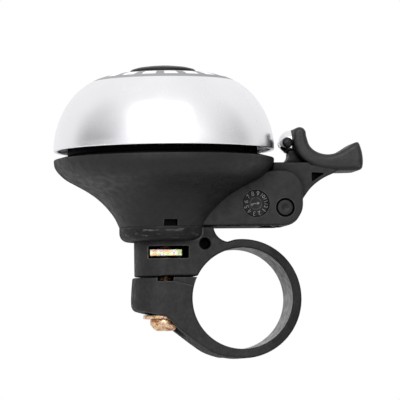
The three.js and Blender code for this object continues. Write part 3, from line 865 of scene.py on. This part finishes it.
def base_profile():
    """Half section of the flared shell with its standing wall and post, from foot to foot."""
    flare = smooth([(11, BASE_Z), (12.2, 19.9), (14.2, 22.5), (16.4, 24.6), (18.8, 26.3),
                    (21.8, 28), (23.8, 29.15), (25.5, 30.7), (26.4, 32.1), (DOME_R, LIP_Z - 0.5)])
    lip = rounded([(DOME_R, LIP_Z - 1), (DOME_R, LIP_Z, 0.3), (RING_R, LIP_Z + LIP_RISE, 0.3),
                   (RING_R, RING_TOP, 0.4), (RING_R - RING_WALL, RING_TOP, 0.4), BOWL_TOP])[1:-1]
    post = rounded([(11, FLOOR_TOP), (POST_R, FLOOR_TOP, 0.8), (POST_R, POST_TOP, 0.3),
                    (3, POST_TOP), (3, FLOOR_TOP)])[1:]
    socket = SPIGOT_TOP + 0.1
    foot = [(1.6, FLOOR_TOP), (1.6, socket), (SPIGOT_R + 0.1, socket), (SPIGOT_R + 0.1, BASE_Z)]
    return [*flare, *lip, *BOWL, *post, *foot]


def base_hollow():
    """The space inside the bowl, which the cheeks stay out of."""
    top = CHEEK_TOP + 1
    profile = [(0, FLOOR_TOP), *reversed(BOWL), (BOWL_TOP[0], top), (0, top)]
    return lathe("hollow", profile, ON_BELL, 128)


def wall_gap():
    """The part of the standing wall that is left out towards the lever."""
    start, end = RING_GAP
    outline = [*arc(BELL_X, 0, RING_R + 2, start, end, 12),
               *arc(BELL_X, 0, POST_R + 2, end, start, 12)]
    return slab("wall_gap", outline, LIP_Z + LIP_RISE + 0.03, RING_TOP + 1)


def build_base():
    made = lathe("base_body_visual", base_profile(), ON_BELL, 192, closed=False)
    cheek = rounded([(BELL_X + 2, CHEEK_TOP), (BELL_X + 2, BASE_Z), (CHEEK_RIGHT, BASE_Z, 5.2),
                     (CHEEK_RIGHT, CHEEK_TOP, 4.5)], 14)
    cheeks = prism("cheeks", cheek, -CHEEK_OUT, CHEEK_OUT, 0.55)
    cut(cheeks, base_hollow(), rod(SPIGOT_R + 0.1, 0, SPIGOT_TOP + 0.1, ON_BELL, 128))
    join(made, cheeks)
    cut(
        made,
        block("pocket", POCKET_X, CHEEK_RIGHT + 2, -CHEEK_IN, CHEEK_IN, BASE_Z - 1, RING_TOP + 2),
        wall_gap(),
        rod(PIN_R + PIN_ROOM, -CHEEK_OUT - 1, CHEEK_OUT + 1, ON_PIN),
        rod(PIN_HEAD_R + 0.45, -CHEEK_OUT - 1, -CHEEK_OUT + 1.7, ON_PIN),
        rod(2.9, CHEEK_OUT - 0.8, CHEEK_OUT + 1, ON_PIN),
        block("notch", BELL_X - 1.65, BELL_X + 1.65, -COLLAR_R - 3, -SPIGOT_R + 1, BASE_Z - 1,
              COLLAR_TOP + 1.6),
        rod(DIAL_R, -CHEEK_OUT - 1, -CHEEK_OUT + DIAL_DEEP, across(*DIAL), 72),
    )
    place(made, "bell_base", BASE_PLASTIC, "black_plastic", "base_body", sharp=30)


def digit(text, size, x, z, turn):
    """A raised number on the near cheek, its top turned away from the dial's middle."""
    curve = bpy.data.curves.new("digit", "FONT")
    curve.body = text
    curve.size = size * MM
    curve.extrude = 0.16 * MM
    curve.offset = 0.025 * MM
    curve.align_x = "CENTER"
    curve.align_y = "CENTER"
    mesh = mesh_of_curve(curve)
    mesh.transform(Matrix.Rotation(math.radians(turn - 90), 4, "Z"))
    facing = Matrix.Rotation(math.pi / 2, 4, "X")
    y = -CHEEK_OUT + DIAL_DEEP - 0.12
    mesh.transform(Matrix.Translation((x * MM, y * MM, z * MM)) @ facing)
    return mesh


def build_dial():
    """The moulder's date dial: a round insert with the months round it and an arrow."""
    floor = -CHEEK_OUT + DIAL_DEEP - 0.02
    edge = DIAL_R - 0.02
    face = rounded([(0, floor + 0.3), (edge, floor + 0.3), (edge, floor),
                    (DIAL_R - 0.3, floor, 0.1), (1.5, floor + 0.02), (1.36, floor + 0.12),
                    (1.22, floor - 0.02, 0.05), (0, floor - 0.04)], 3)
    made = lathe("date_dial", face, across(*DIAL), 72)
    arrow = [(-0.95, -0.12), (0.35, -0.12), (0.35, -0.36), (1.05, 0), (0.35, 0.36), (0.35, 0.12),
             (-0.95, 0.12)]
    tilt = Matrix.Rotation(math.radians(8), 2)
    turned = [tuple(DIAL + tilt @ Vector(corner)) for corner in arrow]
    dot = lathe("dot", [(0, floor + 0.1), (0.3, floor + 0.1), (0.28, floor - 0.16),
                        (0.12, floor - 0.22), (0, floor - 0.23)],
                across(DIAL.x - 0.95, DIAL.y - 0.3), 24)
    place(made, "bell_base", DIAL_PLASTIC, "black_plastic")
    pointer = join(prism("arrow", turned, floor - 0.2, floor + 0.1), dot)
    maker = bmesh.new()
    maker.from_mesh(pointer.data)
    bpy.data.objects.remove(pointer)
    for month in range(1, 13):
        turn = 349 - 30 * month
        spot = arc(*DIAL, 2.42, turn, turn, 1)[0]
        maker.from_mesh(digit(str(month), 1.5 if month < 10 else 1.25, *spot, turn))
    place(add_object("date_numbers", maker), "bell_base", LIT_NUMBER_PLASTIC, "black_plastic")


# ---------- dome and its fixing


def dome_side(depth, steps=72):
    """The dome's side curve from the rim up, offset inwards by a depth."""
    shoulder_z = 37.2
    rise = CROWN_Z - shoulder_z + 0.05
    curve = []
    for i in range(steps + 1):
        a = math.radians(90 * i / steps)
        r = DOME_R * math.cos(a) ** (2 / 3.8)
        curve.append((r, shoulder_z + rise * math.sin(a) ** (2 / 1.6)))
    points = [Vector((DOME_R, RIM_Z)), *[Vector(p) for p in curve]]
    moved = []
    for before, point, after in zip(points, points[1:], points[2:]):
        along = (after - before).normalized()
        shifted = point + Vector((-along.y, along.x)) * depth
        if CAP_R + 0.6 < shifted.x:
            moved.append(tuple(shifted))
    return moved


def build_dome():
    seat_r = 7
    outside = dome_side(0)
    inside = dome_side(DOME_WALL)
    rim = arc(DOME_R - 0.28, RIM_Z + 0.28, 0.28, -90, 0, 5)
    well = rounded([(9, CROWN_Z), (seat_r + 0.5, CROWN_Z - 0.05, 0.4), (seat_r, DOME_SEAT_Z, 0.5),
                    (2.2, DOME_SEAT_Z, 0.1), (2.2, DOME_SEAT_Z - DOME_WALL, 0.1),
                    (seat_r + DOME_WALL, DOME_SEAT_Z - DOME_WALL, 0.6),
                    (seat_r + DOME_WALL + 0.4, 53.7, 0.3), (12, CROWN_Z - DOME_WALL)], 5)[1:-1]
    inner_r = DOME_R - DOME_WALL
    inner_rim = rounded([(inner_r, 38), (inner_r, RIM_Z, 0.2), (DOME_R, RIM_Z)])[1:-1]
    profile = [*rim, *outside, *well, *reversed(inside), *inner_rim]
    made = lathe("dome_visual", profile, ON_BELL, 256, closed=False)
    place(made, "bell_base", DOME_METAL, "chrome_dome", "dome", sharp=50)


def build_cap():
    skirt = CAP_LOW.z
    profile = rounded([(0, 55.5), (5, 55.4, 0.3), (5.85, 54.6, 0.2), (5.85, skirt),
                       (6.7, skirt, 0.1), (6.7, 54.6, 0.3), (7.75, 54.85, 0.15),
                       (CAP_R, 55.15, 0.2), (7.55, 55.55, 0.5), (6, 55.98, 3), (3.5, 56.3, 3),
                       (0, CAP_HIGH.z)])
    made = lathe("dome_cap_visual", profile, ON_BELL, 128)
    place(made, "bell_base", CAP_PLASTIC, "gloss_black", "dome_cap")


def hidden_screw(node, head, seat, recess, thread):
    """A screw on the bell's axis; thread is its radius, pitch and depth."""
    r, pitch, depth = thread
    made = lathe(node + "_visual", rounded(head, 4), ON_BELL, 48)
    cut(made, recess)
    foot = span(node)[0].z
    join(made, threaded_rod("thread", r, foot, seat + 0.1, pitch, depth, ON_BELL, 24))
    place(made, "bell_base", STEEL, "plain_steel", node, sharp=40)


def build_hidden():
    """The pieces under the cap and inside the base."""
    for node, inner, outer, material, slot in (
        ("dome_seat", 1.8, 5.5, RUBBER, "black_rubber"),
        ("dome_gasket", 1.8, 5.6, RUBBER, "black_rubber"),
        ("dome_washer", 1.75, 4.6, STEEL, "plain_steel"),
        ("base_washer", 1.4, 2.8, STEEL, "plain_steel"),
        ("post_insert", 1.55, 2.95, BRASS, "brass"),
    ):
        low, high = span(node)
        made = washer(node + "_visual", inner, outer, low.z, high.z, BELL_X)
        place(made, "bell_base", material, slot, node)
    top = span("dome_screw")[1].z
    seat = top - 1.3
    head = [(0, seat - 0.4), (2.8, seat - 0.02, 0.1), (2.8, seat + 0.6, 0.4), (1.8, top, 0.8),
            (0, top)]
    recess = cross_recess(0, 0, 1.5, 0.3, 0.9)
    recess.data.transform(Matrix.Rotation(math.pi, 4, "X"))
    recess.data.transform(Matrix.Translation((BELL_X * MM, 0, (top + 0.1) * MM)))
    hidden_screw("dome_screw", head, seat, recess, (1.45, 0.5, 0.22))
    top = span("base_screw")[1].z
    seat = top - 1.8
    head = [(0, seat - 0.3), (2.6, seat, 0.1), (2.6, seat + 0.9, 0.2), (1.6, top, 0.3), (0, top)]
    recess = block("slot", BELL_X - 1.7, BELL_X + 1.7, -0.35, 0.35, top - 1, top + 1)
    hidden_screw("base_screw", head, seat, recess, (1.2, 0.6, 0.2))


# ---------- lever, hammer, pin and spring


def pad_outline():
    """The thumb pad from the side: an upright back, a saddle and an upturned end."""
    back = smooth([(13.3, 39.75), (13.35, 37), (14.1, 35), (15.5, 33.3), (17.4, 31.9), (19.8, 31),
                   (23.3, 30.6), (26.8, 30.6), (29, 30.7)])
    end = smooth([(29, 30.7), (29.75, 31), (30.15, 31.7), (30.28, 32.8), (30.24, 34),
                  (30.02, 35.4), (29.6, 36.8)], 5)
    tip = smooth([(29.6, 36.8), (29.2, 37.45), (28.75, 37.6), (28.1, 37.35), (27.2, 36.85),
                  (25.6, 35.85), (23.6, 34.95), (21.2, 34.7), (18.8, 35.4), (17.2, 36.9),
                  (16.4, 39.4)])
    top = arc(14.85, 39.75, 1.53, 8, 180, 16)
    return back[1:-1] + end[:-1] + tip + top


def hub_outline():
    """The hub round the pin, with its shelf and the web that braces the pad."""
    web = smooth([(15.1, 23.5), (16.1, 25), (17.3, 26.5), (18.9, 27.9), (20.8, 29.1), (22.8, 30),
                  (24.4, 30.9)], 5)
    return [
        *arc(PIN_X, PIN_Z, HUB_R, 180, 360, 32)[:-1],
        (PIN_X + HUB_R, PIN_Z + 0.1),
        *web,
        (17.5, 32.2), (16.8, SHELF_Z),
        (8.5, SHELF_Z), (8.1, SHELF_Z - 0.4),
        (7.2, 28.5),
        (6.3, 24.2),
    ]


def stem_outline():
    """The narrow stem that joins the pad's back to the shelf."""
    left, fillet = 12.5, 1.9
    return [
        (17, SHELF_Z - 1), (16.8, 32.8), (14.4, 36), (14.1, 37.6),
        (left + 0.6, 37.4), (left + 0.1, 37.1), (left, 36.6),
        *arc(left - fillet, SHELF_Z + fillet, fillet, 0, -90, 8), (left - fillet, SHELF_Z - 1),
    ]


def side_pocket(near):
    """The three-cornered recess beside the web, on one side of the lever."""
    outline = rounded([(17.5, 30.3, 0.25), (17.5, 27.9, 0.25), (19.2, 29.1), (20.9, 30.1, 0.2)], 3)
    y0, y1 = sorted((near * 1.6, near * (HUB_HALF + 1)))
    return prism("side_pocket", outline, y0, y1)


def build_lever():
    made = skin("thumb_lever_visual", soft_rings(pad_outline(), -PAD_HALF, PAD_HALF, 1.3))
    half = SPRING_ROOM_HALF
    room = HAMMER_R + 0.2
    cradle = lathe("cradle", [(0, -0.2), (room, -0.2), (room, 1), (0, HAMMER_R + 1)],
                   leftwards(HAMMER_X, HAMMER_Z), 48)
    join(made, prism("hub", hub_outline(), -HUB_HALF, HUB_HALF, 0.35),
         prism("stem", stem_outline(), -STEM_HALF, STEM_HALF, 0.3))
    cut(
        made,
        rod(PIN_R + PIN_ROOM, -HUB_HALF - 1, HUB_HALF + 1, ON_PIN),
        rod(SPRING_ROOM_R, -half, half, ON_PIN),
        block("slot", PIN_X - HUB_R - 3, PIN_X, -half, half, PIN_Z - HUB_R - 1,
              PIN_Z + SPRING_ROOM_R),
        side_pocket(-1),
        side_pocket(1),
        cradle,
        rod(1.35, -2, 2, leftwards(HAMMER_X + 0.9, HAMMER_Z), 32),
    )
    place(made, "thumb_lever", LEVER_PLASTIC, "lever_plastic", "thumb_lever", sharp=34)


def build_hammer():
    """The chrome half ball on its stud, and the black rivet that holds it."""
    ball = arc(0, 0, HAMMER_R, 0, 90, 30)[1:-1]
    profile = [(0, -1.6), (1.05, -1.6), (1.2, -1.45), (1.2, 0), (HAMMER_R - 0.15, 0), *ball,
               (0, HAMMER_R)]
    made = lathe("hammer_visual", profile, leftwards(HAMMER_X, HAMMER_Z), 96)
    place(made, "thumb_lever", HAMMER_METAL, "chrome_hammer", "hammer")
    r, foot, rise = 1.32, -3.6, 1.25
    head = [(r * a, foot - rise * b) for a, b in arc(0, 0, 1, 0, 90, 10)[:-2]]
    profile = [(0, 3), (r, 3), *head, (0, foot - rise)]
    rivet = lathe("hammer_rivet", profile, across(HAMMER_X - 1.4, HAMMER_Z - 0.2), 48)
    place(rivet, "thumb_lever", RIVET_PLASTIC, "gloss_black")


def build_pin():
    front, back = PIN_LOW.y, PIN_HIGH.y
    profile = rounded([(0, front + 0.34), (0.28, front + 0.3, 0.1), (0.95, front + 0.02, 0.3),
                       (PIN_HEAD_R, front + 0.02, 0.22), (PIN_HEAD_R, front + 0.6, 0.1),
                       (PIN_R, front + 0.6), (PIN_R, back - 0.55), (1.05, back - 0.55),
                       (1.05, back - 0.2), (PIN_R, back - 0.2), (PIN_R, back, 0.18), (0, back)], 4)
    made = lathe("pivot_pin_visual", profile, ON_PIN, 64)
    place(made, "bell_base", PIN_PLASTIC, "black_pin", "pivot_pin")
    clip_ring = rounded([(1.15, back - 0.5), (2.6, back - 0.5, 0.08), (2.6, back - 0.25, 0.08),
                         (1.15, back - 0.25)], 3)
    clip = lathe("pin_clip_visual", clip_ring, ON_PIN, 64, closed=False)
    cut(clip, block("mouth", PIN_X - 0.9, PIN_X + 0.9, 0, CHEEK_OUT + 1, PIN_Z - 4, PIN_Z))
    place(clip, "bell_base", STEEL, "plain_steel", "pin_clip")


def build_spring():
    """Torsion spring round the pin, with a leg at each end."""
    coil_r, wire_r, half, turns, sides = 2.35, 0.35, 1.75, 4, 24
    points = [(PIN_X - 4.4, -half, PIN_Z - coil_r), (PIN_X - 2.2, -half, PIN_Z - coil_r)]
    for i in range(turns * sides + 1):
        a = -math.pi / 2 + 2 * math.pi * i / sides
        y = -half + 2 * half * i / (turns * sides)
        points.append((PIN_X + coil_r * math.cos(a), y, PIN_Z + coil_r * math.sin(a)))
    points.append((PIN_X + 2.2, half, PIN_Z - coil_r + 0.2))
    curve = bpy.data.curves.new("spring_path", "CURVE")
    curve.dimensions = "3D"
    curve.bevel_depth = wire_r * MM
    curve.bevel_resolution = 3
    curve.use_fill_caps = True
    path = curve.splines.new("POLY")
    path.points.add(len(points) - 1)
    for spot, point in zip(path.points, points):
        spot.co = (*(Vector(point) * MM), 1)
    made = add("lever_spring_visual", mesh_of_curve(curve))
    place(made, "bell_base", STEEL, "plain_steel", "lever_spring", sharp=60)


# ---------- camera, floor and light


def add_camera():
    azimuth, elevation, roll = math.radians(-7.96), math.radians(-3.12), math.radians(-0.75)
    target = Vector((-9.05, 0, 24.0)) * MM
    distance = 0.8456
    level = math.cos(elevation)
    back = Vector((math.sin(azimuth) * level, -math.cos(azimuth) * level, math.sin(elevation)))
    camera = add("camera", bpy.data.cameras.new("camera"))
    camera.data.sensor_width = 36
    camera.data.lens = 315
    camera.data.clip_start = 0.05
    camera.data.clip_end = 30
    camera.location = target + back * distance
    camera.rotation_mode = "QUATERNION"
    turn = Matrix.Rotation(roll, 3, "Z").to_quaternion()
    camera.rotation_quaternion = (-back).to_track_quat("-Z", "Y") @ turn
    bpy.context.scene.camera = camera


def add_floor():
    maker = bmesh.new()
    half, height = 4.0, -0.045
    corners = [(-half, -half), (half, -half), (half, half), (-half, half)]
    maker.faces.new([maker.verts.new((x, y, height)) for x, y in corners])
    floor = add_object("floor", maker)
    paint = Paint("pale_floor", specular=0.2)
    cloud = paint.spread(paint.noise(300, 3), 0, 1)
    colour = paint.mix(cloud, (0.66, 0.66, 0.66), (0.7, 0.7, 0.7))
    roughness = paint.spread(paint.noise(90, 3), 0.7, 0.85)
    grain = paint.bump(paint.noise(2, 2), 0.02, 0.3)
    floor.data.materials.append(paint.finish(colour, roughness, grain))


# Brightness of the walls round the bell, by degrees from the camera's side
WALLS = [(-180, 0.93), (-122, 0.9), (-94, 0.4), (-70, 0.5), (-44, 0.98), (-22, 1.25), (14, 1.25),
         (40, 0.95), (58, 0.7), (80, 0.54), (104, 0.84), (180, 0.93)]


def add_sky():
    """A white room, darker to the two sides; the camera itself sees it plain white."""
    world = bpy.data.worlds.new("studio")
    world.use_nodes = True
    tree = world.node_tree
    direction = add_node(tree, "TexCoord").outputs["Generated"]
    parts = add_node(tree, "SeparateXYZ", _0=direction).outputs
    forward = add_node(tree, "Math", {"operation": "MULTIPLY"}, _0=parts["Y"], _1=-1).outputs[0]
    angle = add_node(tree, "Math", {"operation": "ARCTAN2"}, _0=parts["X"], _1=forward)
    share = add_node(tree, "MapRange", _0=angle.outputs[0], _1=-math.pi, _2=math.pi)
    walls = add_node(tree, "ValToRGB", _0=share.outputs[0])
    walls.color_ramp.interpolation = "EASE"
    set_stops(walls.color_ramp, [((degrees + 180) / 360, (level, level, level * 1.01))
                                 for degrees, level in WALLS])
    height = add_node(tree, "MapRange", _0=parts["Z"], _1=0.25, _2=0.85)
    ceiling = add_node(tree, "Mix", {"data_type": "RGBA"}, _0=height.outputs[0],
                       _6=walls.outputs[0], _7=(0.95, 0.95, 0.95, 1))
    seen = add_node(tree, "LightPath").outputs["Is Camera Ray"]
    shown = add_node(tree, "Mix", {"data_type": "RGBA"}, _0=seen, _6=ceiling.outputs[2],
                     _7=(1, 1, 1, 1))
    tree.links.new(shown.outputs[2], tree.nodes["Background"].inputs["Color"])
    bpy.context.scene.world = world


def add_lamp(name, spot, size, power, mirrored=True):
    """A soft area light that faces the bell; unless mirrored, bright metal doesn't show it."""
    lamp = bpy.data.lights.new(name, "AREA")
    lamp.shape = "RECTANGLE"
    lamp.size, lamp.size_y = size
    lamp.energy = power
    made = add(name, lamp)
    made.location = spot
    middle = Vector((BELL_X, 0, BASE_Z)) * MM
    made.rotation_mode = "QUATERNION"
    made.rotation_quaternion = (middle - Vector(spot)).to_track_quat("-Z", "Y")
    made.visible_camera = False
    made.visible_glossy = mirrored


build_clamp()
build_nut()
build_washer()
build_screw()
build_base()
build_dial()
build_dome()
build_cap()
build_hidden()
build_lever()
build_hammer()
build_pin()
build_spring()
add_camera()
add_floor()
add_sky()
add_lamp("front_lamp", (-0.25, -1.1, 0.65), (1.2, 1.3), 8)
add_lamp("left_lamp", (-1.2, -0.3, 0.3), (0.8, 0.8), 12, mirrored=False)
bpy.context.scene.view_settings.view_transform = "Standard"
